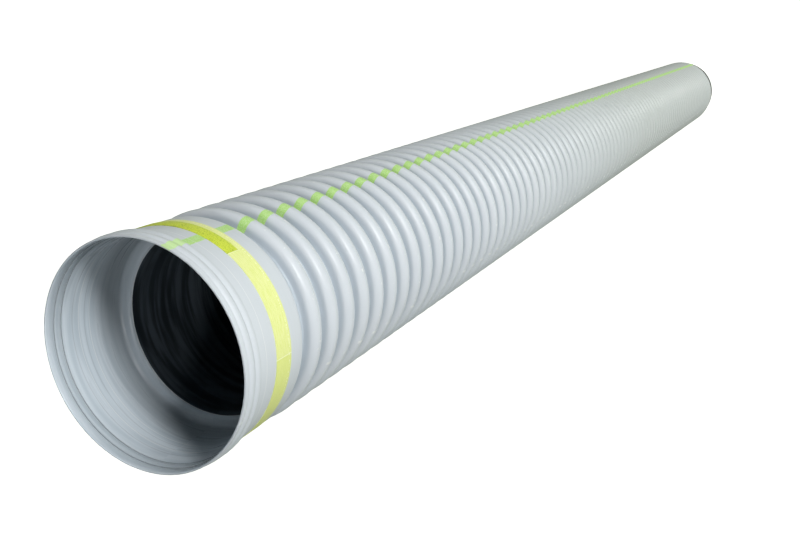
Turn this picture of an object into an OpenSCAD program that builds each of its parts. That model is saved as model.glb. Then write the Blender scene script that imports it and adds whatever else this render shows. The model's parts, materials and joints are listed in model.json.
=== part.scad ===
// Corrugated drainage pipe with a smooth liner: a bell at one end, a spigot at the other.
// It stands on the spigot's end. The axis is Z, up from the floor at z = 0 to the bell's mouth.

/* [Wall] */
// Inside diameter of the smooth liner
bore_d = 388; // [370:1:400]
// Thickness of the smooth liner
liner_t = 2.5; // [1.5:0.1:4]
// Thickness of the corrugated outer wall
wall_t = 2.5; // [1.5:0.1:3.5]

/* [Corrugation] */
// Distance from one crest to the next
pitch = 69; // [62:0.5:90]
// Number of crests behind the bell
crest_count = 86; // [6:1:90]
// Height of the crests above the valleys
crest_h = 26; // [22:0.5:32]
// Rounding of the crests' edges
crest_round = 18; // [8:0.5:20]
// Rounding at the foot of each flank
valley_round = 4; // [2:0.5:5]
// Width of the flat floor of a valley
valley_floor = 18; // [8:0.5:24]
// Lean of the flanks from square
flank_lean = 13; // [2:1:18]

/* [Bell] */
// Distance from the mouth to the middle of the first valley
bell_depth = 221; // [185:1:260]
// Depth of the bell's barrel below the crests
barrel_drop = 4; // [1:0.5:6]
// Thickness of the bell's double wall
bell_t = 5; // [4:0.5:6]
// Height of the mouth's lip above the crests
lip_rise = 1; // [0:0.5:3]
// Thickness of the wall at the lip
lip_t = 4.5; // [3:0.5:6]
// Distance from the mouth to the first of two rings outside
ring_start = 13.5; // [8:0.5:16]
// Distance from the start of the first ring to the start of the second
ring_pitch = 19; // [17:0.5:22]
// Width of each ring's flat top
ring_top = 7.5; // [4:0.5:9]
// Height of the rings above the lip
ring_rise = 2.25; // [0.5:0.25:3]
// Axial run of a ring's slopes
ring_run = 4.5; // [3:0.5:5.5]
// Axial run of the fall from the second ring to the barrel
ring_fall = 6.5; // [4:0.5:10]
// Depth of the rings' feet below the lip
groove_deep = 1; // [0.5:0.25:1.5]
// Distance from the mouth to the first step inside
step_a = 20.5; // [12:0.5:24]
// Distance from the mouth to the second step inside
step_b = 38; // [28:0.5:44]
// Height of each step inside
step_rise = 1; // [0.5:0.25:1.5]
// Distance over which the mouth narrows to the bell's bore
flare_len = 66; // [50:1:90]
// Rounding of the shoulder behind the barrel
shoulder_round = 16; // [10:0.5:18]

/* [Spigot] */
// Number of lower crests that enter the next pipe's bell
spigot_crests = 2; // [2:1:3]
// Gap between the spigot's crests and the bell's bore
spigot_gap = 4; // [2:0.5:6]
// Rounding of the spigot's crests
spigot_round = 8; // [5:0.5:8]
// Height of the seal above the spigot's crests
seal_rise = 5.5; // [3:0.5:7]
// Gap on each side between the seal and the foot of the flank beside it
seal_gap = 1.5; // [0.5:0.25:3]

/* [Band] */
// Distance from the mouth to the front edge of the band's inner layer
band_start = 105; // [80:1:120]
// Width of the band's inner layer
band_w = 49.5; // [30:0.5:60]
// Width of the band's outer layer
lap_w = 32; // [24:0.5:50]
// Distance by which the outer layer lies nearer the mouth
lap_shift = 1; // [0.5:0.5:6]
// Thickness of one layer of the band
band_t = 0.9; // [0.6:0.1:1.5]
// Angle from +X towards -Y at which the band's outer layer ends
band_end = 35; // [10:0.5:60]
// Angle that the outer layer covers over the inner one
band_lap = 110; // [60:5:200]

/* [Hidden] */

// Turned solids are drawn with this many sides and keep true circles
sides = 120;
// Segments in each rounding
outer_steps = 4;
inner_steps = 2;
foot_steps = 1;
nose_steps = 6;

bore_r = bore_d / 2;
liner_r = bore_r + liner_t;
valley_r = liner_r + wall_t;
crest_r = valley_r + crest_h;
barrel_r = crest_r - barrel_drop;
bell_bore_r = barrel_r - bell_t;
lip_r = crest_r + lip_rise;
mouth_r = lip_r - lip_t;
lip_nose = lip_t / 2;
ring_r = lip_r + ring_rise;
groove_r = lip_r - groove_deep;
spigot_r = bell_bore_r - spigot_gap;
pipe_end = bell_depth + crest_count * pitch;
seal_x = pipe_end - pitch;
// Where the bell ends and the liner starts
throat_x = bell_depth - valley_floor / 2;
// Axial run of a moulded step
edge_run = 1.5;

// Points are [radius, distance from the mouth]
function arc(centre_r, centre_x, radius, from, to, steps) =
    [for (i = [0:steps])
        let (a = from + (to - from) * i / steps)
        [centre_r + radius * sin(a), centre_x - radius * cos(a)]];

// The wanted rounding, or the largest that the height above the valley has room for
function height_round(top_r, wanted) = min(wanted, top_r - valley_r - valley_round);

// The same for a crest, whose two flanks also share its width
function width_round(top_r, wanted) =
    let (half = (pitch - valley_floor) / 2,
         room = (half * cos(flank_lean) - (top_r - valley_r) * sin(flank_lean)) / (1 - sin(flank_lean)))
    min(height_round(top_r, wanted), room - valley_round);

// Axial distance between the centres of a flank's two roundings
function flank_run(top_r, top_round) =
    (top_round + valley_round
        + (top_r - top_round - valley_r - valley_round) * sin(flank_lean)) / cos(flank_lean);

// The rounding at a flank's foot, from the valley's floor to the flank
function foot_arc(inset) =
    [for (i = [0:foot_steps])
        let (a = (90 - flank_lean) * i / foot_steps)
        [valley_r + valley_round - (valley_round + inset) * cos(a), (valley_round + inset) * sin(a)]];

// A flank that rises from a valley, or mirrored for one that falls; inset gives the wall's other face
function flank_points(top_r, top_round, foot_x, inset, dir, top_steps) =
    let (top = arc(top_r - top_round, 0, top_round - inset, flank_lean, 90, top_steps),
         run = flank_run(top_r, top_round))
    concat([for (p = foot_arc(inset)) [p[0], foot_x + dir * p[1]]],
           [for (p = top) [p[0], foot_x + dir * (run + p[1])]]);

function reversed(list) = [for (i = [len(list) - 1:-1:0]) list[i]];
function valley_x(k) = bell_depth + k * pitch;
function is_spigot(k) = k >= crest_count - spigot_crests;

// One crest, from the floor of the valley before it to the floor of the valley after it
function crest_points(k, inset, top_steps) =
    let (top_r = is_spigot(k) ? spigot_r : crest_r,
         top_round = width_round(top_r, is_spigot(k) ? spigot_round : crest_round))
    concat(flank_points(top_r, top_round, valley_x(k) + valley_floor / 2, inset, 1, top_steps),
           reversed(flank_points(top_r, top_round, valley_x(k + 1) - valley_floor / 2, inset, -1, top_steps)));

function corrugation(inset, top_steps) =
    [for (k = [0:crest_count - 1]) each crest_points(k, inset, top_steps)];

// The fall from the barrel to the first valley, from the valley's floor
function shoulder(inset) =
    flank_points(barrel_r, height_round(barrel_r, shoulder_round), throat_x, inset, -1, outer_steps);

// A ring outside the mouth, from the foot of its front slope; the foot of its rear slope is at foot_r
function ring_points(start, foot_r, fall) =
    [[ring_r, start + ring_run],
     [ring_r, start + ring_run + ring_top],
     [foot_r, start + ring_run + ring_top + fall]];

function bell_outside() =
    concat([[groove_r, ring_start]],
           ring_points(ring_start, groove_r, ring_run),
           [[groove_r, ring_start + ring_pitch]],
           ring_points(ring_start + ring_pitch, barrel_r, ring_fall),
           reversed(shoulder(0)));

// From the throat back to the mouth
function bell_inside() =
    concat(shoulder(bell_t),
           [[bell_bore_r, flare_len],
            [mouth_r - 2 * step_rise, step_b + edge_run],
            [mouth_r - step_rise, step_b],
            [mouth_r - step_rise, step_a + edge_run],
            [mouth_r, step_a]]);

// A profile turned about the axis, its distances laid off downwards from the mouth
module turned(points) {
    rotate_extrude($fn = sides)
        polygon([for (p = points) [p[0], pipe_end - p[1]]]);
}

// The corrugated wall and the bell are blown as one piece; its crests are hollow
module outer_wall() {
    color([0.80, 0.83, 0.86])
        turned(concat(
            arc(lip_r - lip_nose, lip_nose, lip_nose, -90, 90, nose_steps),
            bell_outside(),
            corrugation(0, outer_steps),
            [[valley_r, pipe_end], [liner_r, pipe_end]],
            reversed(corrugation(wall_t, inner_steps)),
            [[liner_r, throat_x]],
            bell_inside()));
}

// The smooth liner lies against the floor of every valley
module inner_liner() {
    color([0.10, 0.11, 0.12])
        turned([[bore_r, throat_x], [liner_r, throat_x], [liner_r, pipe_end], [bore_r, pipe_end]]);
}

// A reinforcing tape wound round the bell, its outer layer lapped over the inner one
module bell_band() {
    color([0.90, 0.93, 0.45])
        union() {
            turned([[barrel_r, band_start], [barrel_r + band_t, band_start],
                    [barrel_r + band_t, band_start + band_w], [barrel_r, band_start + band_w]]);
            rotate([0, 0, -band_end])
                rotate_extrude(angle = band_lap, $fn = sides)
                    translate([barrel_r + band_t / 2, pipe_end - band_start + lap_shift - lap_w])
                        square([1.5 * band_t, lap_w]);
        }
}

// A rubber seal in the last full valley: a foot on the valley's floor and a lip that leans back
module spigot_seal() {
    seal_top = spigot_r + seal_rise;
    half_w = valley_floor / 2 - seal_gap;
    color([0.07, 0.07, 0.08])
        turned([[valley_r, seal_x - half_w],
                [spigot_r, seal_x - half_w],
                [seal_top, seal_x - half_w - seal_rise / 2],
                [seal_top, seal_x - half_w / 2],
                [spigot_r + seal_rise / 2, seal_x + half_w / 2],
                [spigot_r, seal_x + half_w],
                [valley_r, seal_x + half_w]]);
}

outer_wall();
inner_liner();
bell_band();
spigot_seal();
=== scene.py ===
"""A corrugated drainage pipe with a smooth dark liner, standing on its spigot's end.

The frame is in metres: +Z runs up the pipe's axis from the floor to the bell's mouth. Profiles are lists of
(s, r): s is the distance from the mouth, r the distance from the axis. Angles round the pipe are measured
from +X towards -Y, the side that faces the camera.
"""
import json
import math

import bpy
import numpy as np
from mathutils import Matrix, Vector

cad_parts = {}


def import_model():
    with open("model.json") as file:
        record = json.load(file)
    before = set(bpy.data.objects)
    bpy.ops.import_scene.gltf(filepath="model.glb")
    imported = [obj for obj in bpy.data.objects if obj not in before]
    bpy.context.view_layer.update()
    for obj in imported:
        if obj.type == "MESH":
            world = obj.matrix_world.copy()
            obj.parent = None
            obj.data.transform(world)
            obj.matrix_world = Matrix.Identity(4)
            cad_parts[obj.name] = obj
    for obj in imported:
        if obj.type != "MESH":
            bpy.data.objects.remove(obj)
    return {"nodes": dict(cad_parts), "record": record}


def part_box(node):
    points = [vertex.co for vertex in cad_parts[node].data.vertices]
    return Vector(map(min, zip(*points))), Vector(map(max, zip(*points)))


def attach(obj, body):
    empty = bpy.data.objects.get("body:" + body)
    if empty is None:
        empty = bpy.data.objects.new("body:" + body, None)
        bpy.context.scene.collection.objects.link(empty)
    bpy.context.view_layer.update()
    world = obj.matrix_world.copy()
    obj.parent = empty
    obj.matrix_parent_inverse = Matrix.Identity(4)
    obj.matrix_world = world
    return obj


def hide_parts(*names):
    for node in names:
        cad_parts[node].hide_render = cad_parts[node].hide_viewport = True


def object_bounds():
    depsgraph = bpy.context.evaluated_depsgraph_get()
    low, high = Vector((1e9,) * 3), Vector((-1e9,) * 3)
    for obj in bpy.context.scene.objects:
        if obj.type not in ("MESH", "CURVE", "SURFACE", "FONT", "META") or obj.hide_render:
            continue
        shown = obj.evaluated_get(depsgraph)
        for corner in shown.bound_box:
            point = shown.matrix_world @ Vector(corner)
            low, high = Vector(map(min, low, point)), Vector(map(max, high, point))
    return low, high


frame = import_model()
cad_low, cad_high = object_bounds()

MM = 0.001
TOP = cad_high.z

# The photograph shows the pipe lying. Its camera, fitted to the lip, the throat, the outlines and the
# stripe, is given as for a pipe that lies along +X from its mouth at the origin, and turned with the pipe.
CAMERA_AT = Vector((-1.2422, -1.0877, 0.6035))
CAMERA_HEADING = math.radians(24.83)
CAMERA_PITCH = math.radians(-15.294)
CAMERA_LENS = 42.486
SENSOR_WIDTH = 36.0


def stood_up(v):
    """A direction beside the lying pipe, as it is beside the standing one."""
    return Vector((v[2], v[1], -v[0]))


def stood_at(v):
    """A place beside the lying pipe, as it is beside the standing one."""
    return stood_up(v) + Vector((0, 0, TOP))


def node_radii(name):
    """Smallest and largest distance of a node's vertices from the pipe's axis."""
    mesh = frame["nodes"][name].data
    points = np.zeros(len(mesh.vertices) * 3)
    mesh.vertices.foreach_get("co", points)
    points = points.reshape(-1, 3)
    distance = np.hypot(points[:, 0], points[:, 1])
    return float(distance.min()), float(distance.max())


# Sizes read from the frame
PIPE_END = TOP - cad_low.z
BORE_R, LINER_R = node_radii("inner_liner")
RING_R = node_radii("outer_wall")[1]
BARREL_R, LAP_R = node_radii("bell_band")
VALLEY_R, SEAL_R = node_radii("spigot_seal")
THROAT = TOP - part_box("inner_liner")[1].z
BAND_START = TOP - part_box("bell_band")[1].z
BAND_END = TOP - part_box("bell_band")[0].z
SEAL_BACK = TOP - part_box("spigot_seal")[0].z
MOUNTS = {m["name"]: m for m in frame["record"]["mounts"]}
BELL_BORE_R = MOUNTS["socket"]["dims"]["r_mm"] * MM
SPIGOT_R = MOUNTS["spigot"]["dims"]["r_mm"] * MM

# The corrugation
CREST_COUNT = 86
SPIGOT_CRESTS = 2
CREST_H = 26 * MM
CREST_R = VALLEY_R + CREST_H
VALLEY_FLOOR = 18 * MM
BELL_DEPTH = THROAT + VALLEY_FLOOR / 2
PITCH = (PIPE_END - BELL_DEPTH) / CREST_COUNT
CREST_ROUND = 18 * MM
SPIGOT_ROUND = 8 * MM
VALLEY_ROUND = 4 * MM
FLANK_LEAN = math.radians(13)
# Points in the roundings of a crest's top and foot, near the camera and beyond
NEAR_CRESTS = 24
NEAR_STEPS = (5, 2)
FAR_STEPS = (3, 1)
SHOULDER_STEPS = 6
NOSE_STEPS = 4

# The bell
BELL_T = BARREL_R - BELL_BORE_R
LIP_R = RING_R - 2.25 * MM
LIP_T = 4.5 * MM
RING_START = 13.5 * MM
RING_PITCH = 19 * MM
RING_TOP = 7.5 * MM
RING_RUN = 4.5 * MM
RING_FALL = 6.5 * MM
GROOVE_DEEP = 1 * MM
STEP_A = 20.5 * MM
STEP_B = 38 * MM
STEP_RISE = 1 * MM
FLARE_LEN = 66 * MM
EDGE_RUN = 1.5 * MM
# Depth of the scored line at the foot of each step inside
SCORE = 0.7 * MM
# Easing of the rings' edges: how far along it reaches, and how far it drops
RING_EASE = 1 * MM
RING_EASE_DROP = 0.3 * MM
SHOULDER_ROUND = 16 * MM

# The band round the bell
TAPE_T = (LAP_R - BARREL_R) / 2
LAP_SHIFT = 1 * MM
LAP_W = 32 * MM
LAP_DRAPE = 0.6 * MM
LAP_FROM = math.radians(35 - 110)
LAP_TO = math.radians(35)
SEAM_AT = math.radians(91.5)

SEAL_RIB = 0.8 * MM

SIDES = 80
LAP_SIDES = 40
SHARP_ANGLE = math.radians(40)
# Empty edge round each row of the unwrapped surface, and the height left below the caps of a span
ROW_PAD = 0.004
ROWS_BELOW_CAPS = 0.96


def arc(centre_s, centre_r, radius, start, end, steps):
    """Points (s, r) of an arc, its angle measured from the mouth's side towards the outside."""
    angles = [start + (end - start) * i / steps for i in range(steps + 1)]
    return [(centre_s - radius * math.cos(a), centre_r + radius * math.sin(a)) for a in angles]


def flank(foot_s, top_r, top_round, side, inset=0.0, steps=4, foot_steps=2):
    """A flank from the valley's floor to a crest's top; side -1 mirrors it, inset gives the inner face."""
    run = (top_round + VALLEY_ROUND
           + (top_r - top_round - VALLEY_R - VALLEY_ROUND) * math.sin(FLANK_LEAN)) / math.cos(FLANK_LEAN)
    foot_r = VALLEY_ROUND + inset
    turns = [(math.pi / 2 - FLANK_LEAN) * i / foot_steps for i in range(foot_steps + 1)]
    foot = [(foot_r * math.sin(a), VALLEY_R + VALLEY_ROUND - foot_r * math.cos(a)) for a in turns]
    top = arc(run, top_r - top_round, top_round - inset, FLANK_LEAN, math.pi / 2, steps)
    return [(foot_s + side * s, r) for s, r in foot + top]


def crest(k):
    """One crest, from the floor before it to the floor after it; the near ones have more points."""
    spigot = k >= CREST_COUNT - SPIGOT_CRESTS
    top_r, top_round = (SPIGOT_R, SPIGOT_ROUND) if spigot else (CREST_R, CREST_ROUND)
    before = BELL_DEPTH + k * PITCH + VALLEY_FLOOR / 2
    after = BELL_DEPTH + (k + 1) * PITCH - VALLEY_FLOOR / 2
    steps = NEAR_STEPS if k < NEAR_CRESTS else FAR_STEPS
    front = flank(before, top_r, top_round, 1, 0.0, *steps)
    back = flank(after, top_r, top_round, -1, 0.0, *steps)
    return front + back[::-1]


def ring(start, front_r, rear_r, fall):
    """One of the mouth's two rings, its edges eased, from the foot of its front slope."""
    top, end = start + RING_RUN, start + RING_RUN + RING_TOP
    return [(start, front_r),
            (top - RING_EASE, RING_R - 2 * RING_EASE_DROP), (top + RING_EASE, RING_R - RING_EASE_DROP),
            ((top + end) / 2, RING_R),
            (end - RING_EASE, RING_R - RING_EASE_DROP), (end + RING_EASE, RING_R - 3 * RING_EASE_DROP),
            (end + fall, rear_r)]


def turned(name, profile, zones, materials, sides=SIDES, rows=1, span=None):
    """A closed profile turned round the axis, or through a span of angles and capped at its ends."""
    count = len(profile)
    points = np.array(profile)
    start, end = span or (0.0, 2 * math.pi)
    columns = sides + 1 if span else sides
    angles = start + np.arange(columns) * (end - start) / sides
    s = np.repeat(points[:, 0], columns)
    r = np.repeat(points[:, 1], columns)
    a = np.tile(angles, count)
    vertices = np.stack([r * np.cos(a), -r * np.sin(a), TOP - s], 1)
    faces = []
    for i in range(count):
        j = (i + 1) % count
        for k in range(sides):
            n = (k + 1) % columns
            faces.append((i * columns + k, i * columns + n, j * columns + n, j * columns + k))
    caps = [[i * columns for i in range(count)],
            [i * columns + sides for i in range(count)][::-1]] if span else []
    mesh = bpy.data.meshes.new(name)
    mesh.from_pydata(vertices.tolist(), [], faces + caps)
    for material in materials:
        mesh.materials.append(material)
    slots = np.append(np.repeat(zones, sides), [zones[0]] * len(caps)).astype(np.int32)
    mesh.polygons.foreach_set("material_index", slots)
    mesh.polygons.foreach_set("use_smooth", np.ones(len(slots), bool))
    unwrap(mesh, points, sides, rows, len(caps))
    mesh.set_sharp_from_angle(angle=SHARP_ANGLE)
    mesh.update()
    piece = bpy.data.objects.new(name, mesh)
    bpy.context.scene.collection.objects.link(piece)
    return piece


def unwrap(mesh, points, sides, rows, caps):
    """Lays the turned surface out as rows: along the profile in u, round the pipe in v."""
    steps = np.linalg.norm(np.roll(points, -1, 0) - points, axis=1)
    ends = np.cumsum(steps)
    starts = ends - steps
    row = np.minimum((starts + ends) / 2 / ends[-1] * rows, rows - 1e-6).astype(int)
    row_start = np.array([starts[row == k].min() for k in range(rows)])
    row_length = max(ends[row == k].max() - row_start[k] for k in range(rows))
    high = ROWS_BELOW_CAPS if caps else 1.0
    used = 1 - 2 * ROW_PAD
    u0, u1 = (ROW_PAD + used * (at - row_start[row]) / row_length for at in (starts, ends))
    u0, u1 = (np.repeat(u[:, None], sides, 1) for u in (u0, u1))
    k = np.arange(sides)
    v0, v1 = (high * (row[:, None] + ROW_PAD + used * at / sides) / rows for at in (k, k + 1))
    corners = ((u0, v0), (u0, v1), (u1, v1), (u1, v0))
    uv = np.stack([np.stack(corner, 2) for corner in corners], 2).reshape(-1, 2)
    flat = (points - points.min(0)) / np.ptp(points, 0).max()
    for n in range(caps):
        cap = flat[::-1] if n else flat
        uv = np.concatenate([uv, np.array([0.02 + 0.5 * n, 0.97]) + cap * [0.4, 0.4]])
    layer = mesh.uv_layers.new(name="OFBake")
    layer.uv.foreach_set("vector", uv.astype(np.float32).ravel())


def linear(*srgb):
    """A colour written as 0 to 255 sRGB, as the linear colour that a shader takes."""
    parts = [c / 255 for c in srgb]
    return tuple(c / 12.92 if c <= 0.04045 else ((c + 0.055) / 1.055) ** 2.4 for c in parts) + (1.0,)


class Surface:
    """A node material, with short calls for the nodes that these materials share."""

    def __init__(self, name, **sockets):
        self.material = bpy.data.materials.new(name)
        self.material.use_nodes = True
        self.tree = self.material.node_tree
        self.shader = self.tree.nodes["Principled BSDF"]
        for socket, value in sockets.items():
            self.shader.inputs[socket.replace("_", " ")].default_value = value
        coordinates = self.node("ShaderNodeTexCoord")
        self.place = coordinates.outputs["Object"]
        split = self.node("ShaderNodeSeparateXYZ", {0: self.place})
        x, y, z = split.outputs
        self.s = self.math("SUBTRACT", TOP, z)
        self.r = self.math("SQRT", self.math("ADD", self.math("MULTIPLY", x, x), self.math("MULTIPLY", y, y)))
        self.angle = self.math("ARCTAN2", self.math("MULTIPLY", y, -1.0), x)

    def node(self, kind, inputs=None, **settings):
        made = self.tree.nodes.new(kind)
        for key, value in settings.items():
            setattr(made, key, value)
        for key, value in (inputs or {}).items():
            if isinstance(value, bpy.types.NodeSocket):
                self.tree.links.new(value, made.inputs[key])
            else:
                made.inputs[key].default_value = value
        return made

    def math(self, operation, a, b=0.0, clamp=False):
        return self.node("ShaderNodeMath", {0: a, 1: b}, operation=operation, use_clamp=clamp).outputs[0]

    def ramp(self, value, low, high, to_low=0.0, to_high=1.0):
        """value taken smoothly from low..high to to_low..to_high, and held outside."""
        made = self.node("ShaderNodeMapRange", {"Value": value, "From Min": low, "From Max": high,
                                               "To Min": to_low, "To Max": to_high},
                         interpolation_type="SMOOTHSTEP")
        return made.outputs["Result"]

    def noise(self, scale, detail=2.0, place=None):
        made = self.node("ShaderNodeTexNoise",
                         {"Vector": place or self.place, "Scale": scale, "Detail": detail})
        return made.outputs["Fac"]

    def rolled(self, round_scale, along_scale):
        """Coordinates unrolled from the pipe, stretched separately round it and along it."""
        made = self.node("ShaderNodeCombineXYZ", {0: self.math("MULTIPLY", self.angle, round_scale),
                                                 1: self.math("MULTIPLY", self.s, along_scale),
                                                 2: self.math("MULTIPLY", self.r, 50.0)})
        return made.outputs[0]

    def line(self, value, at, half_width, soft):
        """1 within half_width of at, falling to 0 over soft."""
        off = self.math("ABSOLUTE", self.math("SUBTRACT", value, at))
        return self.ramp(off, half_width + soft, half_width)

    def lines(self, first, second, half_width, soft):
        """Two lines round the pipe, at two distances from the mouth."""
        return self.math("ADD", self.line(self.s, first, half_width, soft),
                         self.line(self.s, second, half_width, soft))

    def both(self, a, b):
        return self.math("MULTIPLY", a, b)

    def mix(self, factor, a, b, blend="MIX"):
        made = self.node("ShaderNodeMix", {0: factor, 6: a, 7: b}, data_type="RGBA", blend_type=blend)
        return made.outputs[2]

    def bump(self, height, strength, distance):
        made = self.node("ShaderNodeBump", {"Height": height, "Strength": strength, "Distance": distance})
        self.tree.links.new(made.outputs[0], self.shader.inputs["Normal"])

    def set(self, socket, value):
        self.tree.links.new(value, self.shader.inputs[socket])


GREY = linear(203, 209, 214)
GREY_DULL = linear(191, 198, 204)
# Painted skylight: the bell's inside greys are bluer than the outside's
GREY_INSIDE_SKY_TINT = linear(202, 212, 219)
# Painted shade in the valleys near the mouth
VALLEY_SHADE = linear(158, 170, 180)
# Painted reflected light: the darker, greener grey of the wall towards the spigot
FAR_TINT_GREY = linear(181, 187, 183)
# Painted shade in the valleys towards the spigot, with the painted greener tint
VALLEY_SHADE_FAR = linear(148, 155, 151)
# Painted skylight: the bluer dull grey of the bell's inside
INSIDE_DULL_SKY_TINT = linear(186, 198, 206)
SCUFF = linear(232, 234, 232)
# Dark grey for painted shade at the feet of rings and steps and deep in the bell, and for two faint dark
# lines inside
SHADE_AND_LINE_DARK = linear(120, 128, 134)
GREEN = linear(172, 214, 124)
GREEN_PALE = linear(194, 224, 162)
TAPE_PALE = linear(250, 251, 228)

# Angles of the stripe and of the mould's parting line
STRIPE_AT = math.radians(19.3)
STRIPE_HALF = math.radians(2.5)
PARTING_AT = math.radians(113)

# Where the painted darker, greener tint of reflected light starts along the wall, and where it is full, from
# the mouth
FAR_TINT_FROM = 0.8
FAR_TINT_TO = 4.0

# Distances from the mouth of the lines round the bell: outside, then inside
RING_FOOT_A = 0.0300
RING_FOOT_B = 0.0500
MOULD_LINE = 0.074
PALE_A = 0.0805
PALE_B = 0.110
FAINT_A = 0.0640
FAINT_B = 0.0965


def grey_outside():
    """Satin moulded plastic with its green stripe, the mould's lines and the scuffs of handling, with painted
    shade in the valleys and at the rings' feet and a painted greener tint towards the spigot.
    """
    s = Surface("grey_wall", Specular_IOR_Level=0.38)
    colour = s.mix(s.ramp(s.noise(3.0, 3.0), 0.35, 0.65, 0.0, 0.4), GREY, GREY_DULL)
    # Painted reflected light: the wall turns darker and greener towards the spigot
    far_tint = s.ramp(s.s, FAR_TINT_FROM, FAR_TINT_TO, 0.0, 0.9)
    colour = s.mix(far_tint, colour, FAR_TINT_GREY)
    # Faint streaks round the pipe, as the wall came off the mould
    streaks = s.noise(1.0, 2.0, s.rolled(3.0, 260.0))
    colour = s.mix(s.ramp(streaks, 0.5, 0.75, 0.0, 0.22), colour, GREY_DULL)
    # Painted shade in the valleys, stronger further from the mouth, and greener with the painted tint towards
    # the spigot
    low = s.both(s.ramp(s.r, VALLEY_R + 19 * MM, VALLEY_R + 7 * MM), s.ramp(s.s, THROAT - 12 * MM, THROAT))
    valley_shade_colour = s.mix(far_tint, VALLEY_SHADE, VALLEY_SHADE_FAR)
    colour = s.mix(s.both(low, s.ramp(s.s, FAR_TINT_FROM, 3.0, 0.65, 0.90)), colour, valley_shade_colour)
    # The stripe, paler on the mouth's two rings
    ragged = s.both(s.math("SUBTRACT", s.noise(90.0), 0.5), 0.012)
    stripe = s.line(s.math("ADD", s.angle, ragged), STRIPE_AT, STRIPE_HALF, math.radians(0.2))
    green = s.mix(s.ramp(s.s, RING_FOOT_B, RING_FOOT_B - 10 * MM), GREEN, GREEN_PALE)
    green = s.mix(s.ramp(s.noise(420.0, 2.0), 0.45, 0.60, 0.0, 0.75), green, GREEN_PALE)
    colour = s.mix(stripe, colour, green)
    # Light nicks where the mould's halves met on each crest
    nick = s.both(s.line(s.angle, PARTING_AT, math.radians(0.5), math.radians(0.7)),
                  s.ramp(s.r, CREST_R - 4 * MM, CREST_R - 1 * MM))
    worn = s.ramp(s.noise(9.0, 1.0), 0.42, 0.58)
    colour = s.mix(s.both(s.both(nick, worn), 0.6), colour, SCUFF)
    # Small scuffs on the crests' tops
    tops = s.both(s.ramp(s.r, CREST_R - 2 * MM, CREST_R), s.ramp(s.s, BELL_DEPTH, BELL_DEPTH + 10 * MM))
    speck = s.both(s.ramp(s.noise(1.0, 1.0, s.rolled(24.0, 90.0)), 0.70, 0.74), tops)
    colour = s.mix(s.both(speck, 0.6), colour, SCUFF)
    # Painted shade: a dark line along the foot of each ring, where its corner lies in shadow
    foot = s.math("ADD", s.line(s.s, RING_FOOT_A, 0.4 * MM, 1.2 * MM),
                  s.line(s.s, RING_FOOT_B, 0.4 * MM, 1.6 * MM))
    colour = s.mix(s.both(foot, 0.35), colour, SHADE_AND_LINE_DARK)
    # A pale line that the mould left round the barrel
    mould = s.line(s.s, MOULD_LINE, 0.3 * MM, 0.7 * MM)
    s.set("Base Color", s.mix(s.both(mould, 0.5), colour, SCUFF))
    s.set("Roughness", s.ramp(streaks, 0.3, 0.7, 0.33, 0.41))
    s.bump(s.math("ADD", s.both(mould, 0.5), s.both(nick, 0.8)), 0.5, 0.6 * MM)
    return s.material


def grey_inside():
    """The bell's inner face: the same plastic, tinted bluer as painted skylight, with the lines that the
    forming left round it.
    """
    s = Surface("grey_bell_inside")
    streaks = s.noise(1.0, 2.0, s.rolled(1.0, 80.0))
    # Painted skylight: the inside's greys are bluer than the outside's
    colour = s.mix(s.ramp(streaks, 0.40, 0.70), GREY_INSIDE_SKY_TINT, INSIDE_DULL_SKY_TINT)
    fine = s.lines(PALE_A, PALE_B, 0.3 * MM, 0.6 * MM)
    colour = s.mix(s.both(fine, 0.6), colour, SCUFF)
    # Painted shade: dark lines at the foot of each step. Two fainter dark lines beyond
    foot = s.lines(STEP_A + EDGE_RUN / 2, STEP_B + EDGE_RUN / 2, 0.7 * MM, 0.8 * MM)
    faint = s.math("ADD", s.line(s.s, FAINT_A, 0.4 * MM, 1.2 * MM), s.line(s.s, FAINT_B, 0.4 * MM, 1.4 * MM))
    colour = s.mix(s.math("ADD", s.both(foot, 0.75), s.both(faint, 0.25)), colour, SHADE_AND_LINE_DARK)
    # Painted shade deep in the bell, short of the throat's edge
    deep = s.both(s.ramp(s.s, FLARE_LEN + 29 * MM, FLARE_LEN + 99 * MM),
                  s.ramp(s.s, THROAT - 4 * MM, THROAT - 16 * MM))
    colour = s.mix(s.both(deep, 0.55), colour, SHADE_AND_LINE_DARK)
    # A pale line where the throat meets the liner
    throat_line = s.line(s.s, THROAT - 1.2 * MM, 0.8 * MM, 1.0 * MM)
    colour = s.mix(s.both(throat_line, 0.5), colour, SCUFF)
    s.set("Base Color", colour)
    s.set("Roughness", s.ramp(streaks, 0.3, 0.7, 0.26, 0.36))
    s.bump(s.math("ADD", fine, s.both(streaks, 0.2)), 0.4, 0.6 * MM)
    return s.material


def black_plastic():
    """The smooth liner, with faint rings where the corrugation shows through."""
    s = Surface("black_liner")
    rings = s.noise(1.0, 3.0, s.rolled(1.2, 70.0))
    s.set("Base Color", s.mix(s.ramp(rings, 0.38, 0.62), linear(44, 51, 57), linear(84, 93, 101)))
    s.set("Roughness", s.ramp(rings, 0.3, 0.7, 0.30, 0.44))
    ripple = s.math("SINE", s.both(s.s, 2 * math.pi / PITCH))
    s.bump(s.math("ADD", s.both(ripple, 0.6), rings), 0.5, 1.2 * MM)
    return s.material


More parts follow.
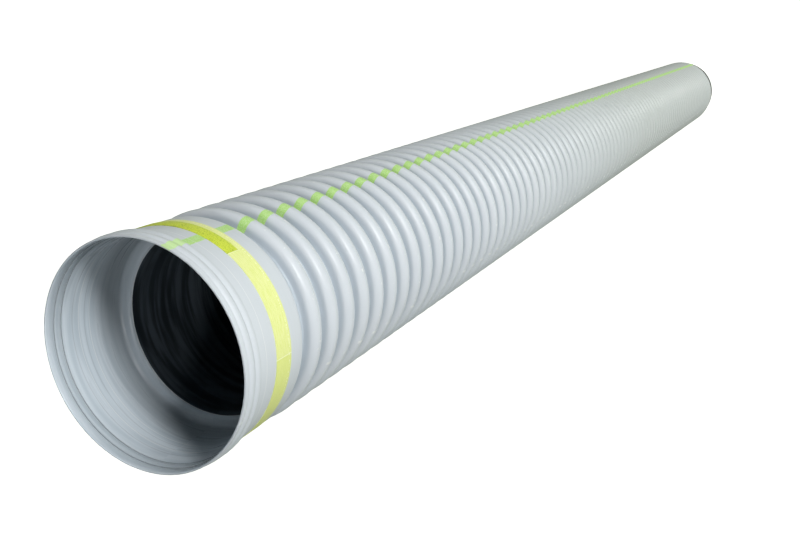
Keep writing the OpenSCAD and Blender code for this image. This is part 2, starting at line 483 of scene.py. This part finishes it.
def tape(name, body, dark, deep, speckled, seam, deep_from=None):
    """Fibre tape: streaks along it, deep specks, a pale cut edge at the angle seam, and pale dashes near its
    rear edge. Beyond the angle deep_from it is darker."""
    s = Surface(name, Roughness=0.38)
    fibres = s.noise(1.0, 3.0, s.rolled(9.0, 900.0))
    colour = s.mix(s.ramp(fibres, 0.40, 0.72), body, dark)
    if deep_from is not None:
        colour = s.mix(s.ramp(s.angle, deep_from, deep_from + 0.004, 0.0, 0.55), colour, dark)
    dots = s.ramp(s.noise(480.0, 1.0), 0.56, 0.62)
    colour = s.mix(s.both(dots, speckled), colour, deep)
    dash = s.ramp(s.noise(1.0, 0.0, s.rolled(90.0, 200.0)), 0.50, 0.58)
    rear = s.line(s.s, BAND_END - 6 * MM, 0.6 * MM, 0.6 * MM)
    colour = s.mix(s.both(s.both(rear, dash), 0.7), colour, TAPE_PALE)
    cut = s.line(s.angle, seam, 0.002, 0.0015)
    s.set("Base Color", s.mix(s.both(cut, 0.7), colour, TAPE_PALE))
    s.bump(s.math("ADD", s.both(fibres, 0.7), cut), 0.4, 0.5 * MM)
    return s.material


def rubber():
    """Matt rubber with a faint bloom."""
    s = Surface("black_rubber", Roughness=0.62)
    bloom = s.noise(30.0, 4.0)
    s.set("Base Color", s.mix(s.ramp(bloom, 0.35, 0.75), linear(26, 26, 28), linear(48, 48, 50)))
    s.bump(s.noise(900.0), 0.2, 0.4 * MM)
    return s.material


def stand_for(piece, node):
    """Puts a piece in the place of its solid: hides the solid and attaches the piece to the root body."""
    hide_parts(node)
    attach(piece, "root")


def outer_wall():
    """The corrugated wall with its bell."""
    nose_r = LIP_T / 2
    mouth_r = LIP_R - LIP_T
    groove_r = LIP_R - GROOVE_DEEP
    outside = arc(nose_r, LIP_R - nose_r, nose_r, 0, math.pi / 2, NOSE_STEPS)
    outside += ring(RING_START, groove_r, groove_r, RING_RUN)
    outside += ring(RING_START + RING_PITCH, groove_r, BARREL_R, RING_FALL)
    outside += flank(THROAT, BARREL_R, SHOULDER_ROUND, -1, 0.0, SHOULDER_STEPS)[::-1]
    for k in range(CREST_COUNT):
        outside += crest(k)
    outside += [(PIPE_END, VALLEY_R)]
    inside = [(PIPE_END, LINER_R), (THROAT, LINER_R)]
    inside += flank(THROAT, BARREL_R, SHOULDER_ROUND, -1, BELL_T, SHOULDER_STEPS)
    inside += [(FLARE_LEN, BELL_BORE_R)]
    for step, r in ((STEP_B, mouth_r - STEP_RISE), (STEP_A, mouth_r)):
        inside += [(step + EDGE_RUN, r - STEP_RISE), (step + EDGE_RUN / 3, r + SCORE),
                   (step - EDGE_RUN / 3, r)]
    inside += arc(nose_r, LIP_R - nose_r, nose_r, -math.pi / 2, 0, NOSE_STEPS)[:-1]
    zones = [0] * len(outside) + [1] * len(inside)
    piece = turned("outer_wall_skin", outside + inside, zones, [grey_outside(), grey_inside()], rows=5)
    stand_for(piece, "outer_wall")


def inner_liner():
    """The smooth liner, cut into one length for each crest."""
    bore = [(THROAT + (PIPE_END - THROAT) * i / CREST_COUNT, BORE_R) for i in range(CREST_COUNT + 1)]
    profile = [(THROAT, LINER_R), (PIPE_END, LINER_R)] + bore[::-1]
    piece = turned("inner_liner_skin", profile, [0] * len(profile), [black_plastic()], rows=4)
    stand_for(piece, "inner_liner")


def bell_band():
    """The tape's inner layer all round, and its outer layer, which drapes over the inner one's front edge."""
    inner = tape("yellow_tape", linear(228, 234, 162), linear(216, 226, 126), linear(186, 200, 90), 0.15,
                 SEAM_AT, SEAM_AT)
    outer = tape("yellow_tape_lap", linear(206, 218, 76), linear(186, 204, 44), linear(140, 164, 40), 0.75,
                 LAP_TO)
    low, mid, high = BARREL_R, BARREL_R + TAPE_T, LAP_R
    front = BAND_START + LAP_SHIFT
    under = [(front, low), (front, mid), (BAND_END, mid), (BAND_END, low)]
    lap = [(BAND_START, low), (BAND_START, mid), (front - LAP_DRAPE, mid), (front + LAP_DRAPE, high),
           (BAND_START + LAP_W, high), (BAND_START + LAP_W, mid), (front, mid), (front, low)]
    stand_for(turned("bell_band_inner", under, [0] * len(under), [inner]), "bell_band")
    stand_for(turned("bell_band_lap", lap, [0] * len(lap), [outer], LAP_SIDES, span=(LAP_FROM, LAP_TO)),
              "bell_band")


def spigot_seal():
    """The rubber ring in its valley: a grooved foot, a body and a lip that leans back."""
    middle = PIPE_END - PITCH
    half = SEAL_BACK - middle
    rise = SEAL_R - SPIGOT_R
    profile = [(middle - half, VALLEY_R), (middle - half, SPIGOT_R - SEAL_RIB),
               (middle - half - rise / 2, SEAL_R - SEAL_RIB), (middle - half - rise / 2 + SEAL_RIB, SEAL_R),
               (middle - half / 2, SEAL_R), (middle - half / 4, SEAL_R - rise / 3),
               (middle, SPIGOT_R + rise / 2), (middle + half / 4, SPIGOT_R + rise / 2 + SEAL_RIB),
               (middle + half / 2, SPIGOT_R + rise / 4), (middle + half - SEAL_RIB, SPIGOT_R),
               (middle + half, SPIGOT_R - SEAL_RIB), (middle + half, VALLEY_R)]
    stand_for(turned("spigot_seal_ring", profile, [0] * len(profile), [rubber()]),
              "spigot_seal")


outer_wall()
inner_liner()
bell_band()
spigot_seal()

# The studio. Strengths of the world's light round the pipe, beyond its mouth on the camera's side, and beyond
# its mouth elsewhere; and its colour under the lying pipe and over it
WORLD_ROUND = 1.0
WORLD_ABOVE_NEAR = 0.06
WORLD_ABOVE = 0.02
WORLD_UNDER = (0.24, 0.28, 0.25, 1)
WORLD_OVER = (0.65, 0.65, 0.65, 1)
WHITE = (1, 1, 1, 1)
FLOOR_COLOUR = (0.56, 0.60, 0.50, 1.0)
FLOOR_GLOW = 0.9
FLOOR_HALF = 40.0

# Distant lights: name, direction as beside the lying pipe, spread in degrees, strength
SUNS = (
    ("key", (0.38, 0.77, -0.52), 11.0, 2.1),
    ("broad", (0.05, 0.80, -0.60), 50.0, 0.9),
    ("side", (0.76, 0.64, 0.10), 8.0, 0.60),
    ("front", (0.97, 0.24, 0.0), 8.0, 0.08),
    ("back", (0.0, -0.80, 0.60), 40.0, 2.3),
)


def floor():
    """A pale floor that the camera sees as white, with a faint shadow round the pipe's foot."""
    s = Surface("floor", Roughness=0.9, Base_Color=FLOOR_COLOUR)
    glow = s.node("ShaderNodeEmission", {"Color": WHITE, "Strength": FLOOR_GLOW})
    seen = s.node("ShaderNodeLightPath").outputs["Is Camera Ray"]
    added = s.node("ShaderNodeAddShader", {0: s.shader.outputs[0], 1: glow.outputs[0]})
    mixed = s.node("ShaderNodeMixShader", {0: seen, 1: s.shader.outputs[0], 2: added.outputs[0]})
    s.tree.links.new(mixed.outputs[0], s.tree.nodes["Material Output"].inputs["Surface"])
    corners = [(x * FLOOR_HALF, y * FLOOR_HALF, cad_low.z) for x, y in ((-1, -1), (1, -1), (1, 1), (-1, 1))]
    mesh = bpy.data.meshes.new("floor")
    mesh.from_pydata(corners, [], [(0, 1, 2, 3)])
    mesh.materials.append(s.material)
    ground = bpy.data.objects.new("floor", mesh)
    bpy.context.scene.collection.objects.link(ground)


def camera():
    """The photograph's camera, turned with the pipe."""
    data = bpy.data.cameras.new("camera")
    data.sensor_width = SENSOR_WIDTH
    data.lens = CAMERA_LENS
    data.clip_end = 200.0
    made = bpy.data.objects.new("camera", data)
    bpy.context.scene.collection.objects.link(made)
    level = math.cos(CAMERA_PITCH)
    forward = Vector((level * math.cos(CAMERA_HEADING), level * math.sin(CAMERA_HEADING),
                      math.sin(CAMERA_PITCH)))
    right = Vector((math.sin(CAMERA_HEADING), -math.cos(CAMERA_HEADING), 0))
    axes = [stood_up(v) for v in (right, right.cross(forward), -forward)]
    made.matrix_world = Matrix.Translation(stood_at(CAMERA_AT)) @ Matrix(axes).transposed().to_4x4()
    bpy.context.scene.camera = made


def world():
    """A studio that is bright round the pipe, dim beyond its mouth, and white where the camera sees it."""
    made = bpy.data.worlds.new("studio")
    bpy.context.scene.world = made
    made.use_nodes = True
    tree = made.node_tree

    def ramp(value, low, high, to_low, to_high):
        """value taken from low..high to to_low..to_high, of which the last two may be sockets."""
        node = tree.nodes.new("ShaderNodeMapRange")
        for key, number in (("From Min", low), ("From Max", high)):
            node.inputs[key].default_value = number
        for key, number in (("Value", value), ("To Min", to_low), ("To Max", to_high)):
            if isinstance(number, bpy.types.NodeSocket):
                tree.links.new(number, node.inputs[key])
            else:
                node.inputs[key].default_value = number
        return node.outputs["Result"]

    place = tree.nodes.new("ShaderNodeTexCoord")
    split = tree.nodes.new("ShaderNodeSeparateXYZ")
    tree.links.new(place.outputs["Generated"], split.inputs[0])
    x, y, z = split.outputs
    above = ramp(y, -1.0, 0.0, WORLD_ABOVE_NEAR, WORLD_ABOVE)
    light = tree.nodes["Background"]
    tree.links.new(ramp(z, 0.0, 0.4, WORLD_ROUND, above), light.inputs["Strength"])
    shade = tree.nodes.new("ShaderNodeValToRGB")
    tree.links.new(ramp(x, -1.0, 1.0, 0.0, 1.0), shade.inputs["Fac"])
    stops = shade.color_ramp.elements
    stops[0].color = WORLD_UNDER
    stops[1].color = WORLD_OVER
    stops.new(0.55).color = WHITE
    tree.links.new(shade.outputs["Color"], light.inputs["Color"])
    seen = tree.nodes.new("ShaderNodeBackground")
    seen.inputs["Color"].default_value = WHITE
    mixed = tree.nodes.new("ShaderNodeMixShader")
    path = tree.nodes.new("ShaderNodeLightPath")
    tree.links.new(path.outputs["Is Camera Ray"], mixed.inputs[0])
    tree.links.new(light.outputs[0], mixed.inputs[1])
    tree.links.new(seen.outputs[0], mixed.inputs[2])
    tree.links.new(mixed.outputs[0], tree.nodes["World Output"].inputs["Surface"])


def sun(name, direction, spread, strength):
    """A broad distant light, its direction given as beside the lying pipe."""
    data = bpy.data.lights.new(name, "SUN")
    data.angle = math.radians(spread)
    data.energy = strength
    made = bpy.data.objects.new(name, data)
    bpy.context.scene.collection.objects.link(made)
    made.rotation_euler = stood_up(Vector(direction)).to_track_quat("-Z", "Y").to_euler()


floor()
world()
camera()
for light in SUNS:
    sun(*light)
bpy.context.scene.view_settings.view_transform = "Standard"
